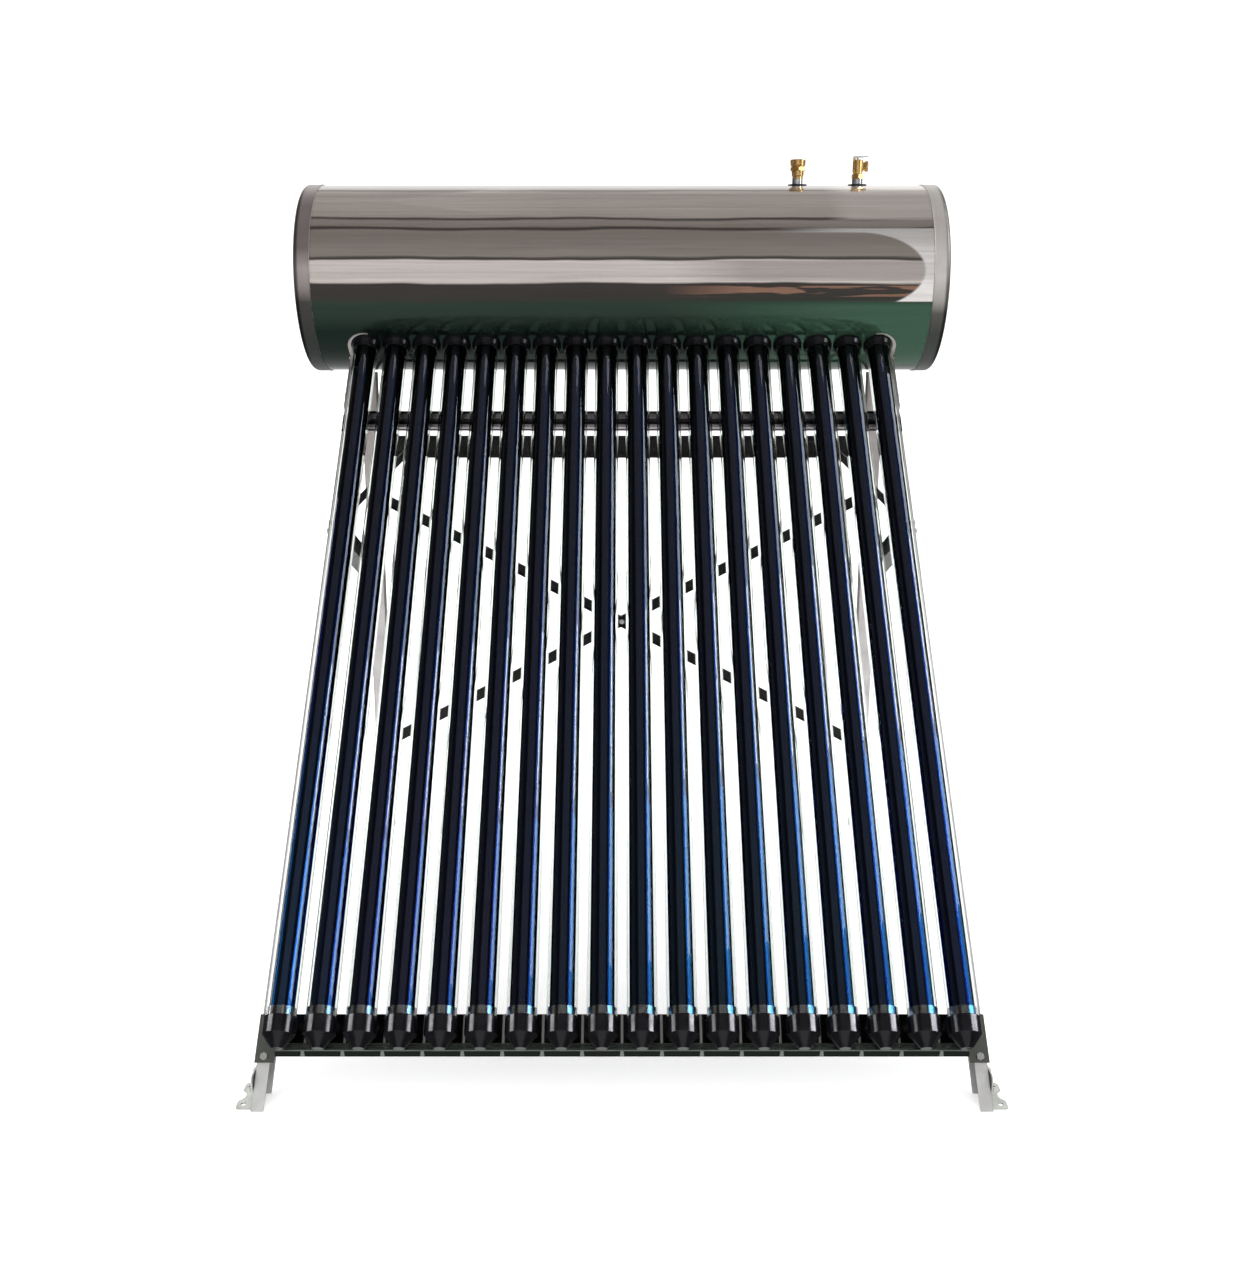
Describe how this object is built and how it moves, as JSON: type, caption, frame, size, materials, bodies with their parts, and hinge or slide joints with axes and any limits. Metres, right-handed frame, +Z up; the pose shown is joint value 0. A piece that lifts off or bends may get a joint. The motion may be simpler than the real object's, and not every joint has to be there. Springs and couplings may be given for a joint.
{
  "type": "solar water heater",
  "caption": "Pressurised solar water heater: insulated stainless tank above sloping evacuated glass tubes on a folded steel stand.",
  "frame": {"origin": "bottom centre of the whole heater's bounding box, on the ground", "axes": "+X along the tank towards the end with the top fittings, +Y from the tube feet to the back of the stand, +Z up"},
  "size_m": [1.596, 1.6605, 1.8145],
  "materials": {
    "mirror_steel": "mirror-polished stainless sheet",
    "cover_steel": "satin stainless pressing",
    "foam": "rigid polyurethane foam, sealed inside",
    "vessel_steel": "pickled stainless, inside the foam",
    "magnesium": "extruded magnesium",
    "borosilicate_glass": "clear drawn glass",
    "absorber_coating": "dark blue selective coating on glass",
    "getter": "silver barium mirror",
    "copper": "drawn copper",
    "fin_aluminium": "rolled aluminium sheet",
    "black_rubber": "moulded EPDM",
    "black_plastic": "glossy moulded nylon",
    "bolt_steel": "stainless fasteners",
    "frame_steel": "bright folded stainless sheet",
    "bracket_steel": "pale stainless plate",
    "brass": "machined brass",
    "lever_steel": "bright plated steel",
    "spring_steel": "bright spring wire"
  },
  "bodies": {
    "heater": {"absorber_tubes": "absorber_coating", "anode_rod": "magnesium", "check_spring": "spring_steel", "check_valve_body": "brass", "corner_brace_left": "frame_steel", "corner_brace_right": "frame_steel", "cup_screws": "bolt_steel", "dust_rings": "black_rubber", "end_cover_left": "cover_steel", "end_cover_right": "cover_steel", "foot_front_left": "bracket_steel", "foot_front_right": "bracket_steel", "foot_rear_left": "bracket_steel", "foot_rear_right": "bracket_steel", "frame_bolts": "bolt_steel", "getter_bands": "getter", "glass_tube_01": "borosilicate_glass", "glass_tube_02": "borosilicate_glass", "glass_tube_03": "borosilicate_glass", "glass_tube_04": "borosilicate_glass", "glass_tube_05": "borosilicate_glass", "glass_tube_06": "borosilicate_glass", "glass_tube_07": "borosilicate_glass", "glass_tube_08": "borosilicate_glass", "glass_tube_09": "borosilicate_glass", "glass_tube_10": "borosilicate_glass", "glass_tube_11": "borosilicate_glass", "glass_tube_12": "borosilicate_glass", "glass_tube_13": "borosilicate_glass", "glass_tube_14": "borosilicate_glass", "glass_tube_15": "borosilicate_glass", "glass_tube_16": "borosilicate_glass", "glass_tube_17": "borosilicate_glass", "glass_tube_18": "borosilicate_glass", "heat_fins": "fin_aluminium", "heat_pipes": "copper", "inner_tank": "vessel_steel", "insulation_foam": "foam", "lever_pin": "spring_steel", "mid_rail": "frame_steel", "port_gaskets": "black_rubber", "rear_brace_rising_left": "frame_steel", "rear_brace_rising_right": "frame_steel", "rear_crossbar": "frame_steel", "rear_leg_left": "frame_steel", "rear_leg_right": "frame_steel", "relief_body": "brass", "relief_spring": "spring_steel", "saddle_left": "frame_steel", "saddle_right": "frame_steel", "side_brace_left": "frame_steel", "side_brace_right": "frame_steel", "side_rail_left": "frame_steel", "side_rail_right": "frame_steel", "tail_cups": "black_plastic", "tail_rail": "frame_steel", "tank_shell": "mirror_steel"},
    "test_lever": {"relief_lever": "lever_steel"},
    "relief_stem": {"relief_stem": "brass"},
    "check_poppet": {"check_poppet": "brass"}
  },
  "joints": [
    {"name": "lever_lift", "type": "hinge", "parent": "heater", "child": "test_lever", "pos_m": [0.589, 0.59826, 1.81066], "axis": [0, -1, 0], "range_deg": [0, 24], "stiffness_Nm_per_rad": 0.4, "springref_deg": -17.19},
    {"name": "stem_lift", "type": "slide", "parent": "heater", "child": "relief_stem", "axis": [0, 0, 1], "range_m": [0, 0.0042], "deforming": ["relief_spring"]},
    {"name": "poppet_lift", "type": "slide", "parent": "heater", "child": "check_poppet", "axis": [0, 0, 1], "range_m": [0, 0.004], "stiffness_N_per_m": 60, "springref_m": -0.004, "deforming": ["check_spring"]}
  ],
  "couplings": [
    {"joint": "stem_lift", "follows": "lever_lift", "m_per_rad": 0.0098}
  ]
}
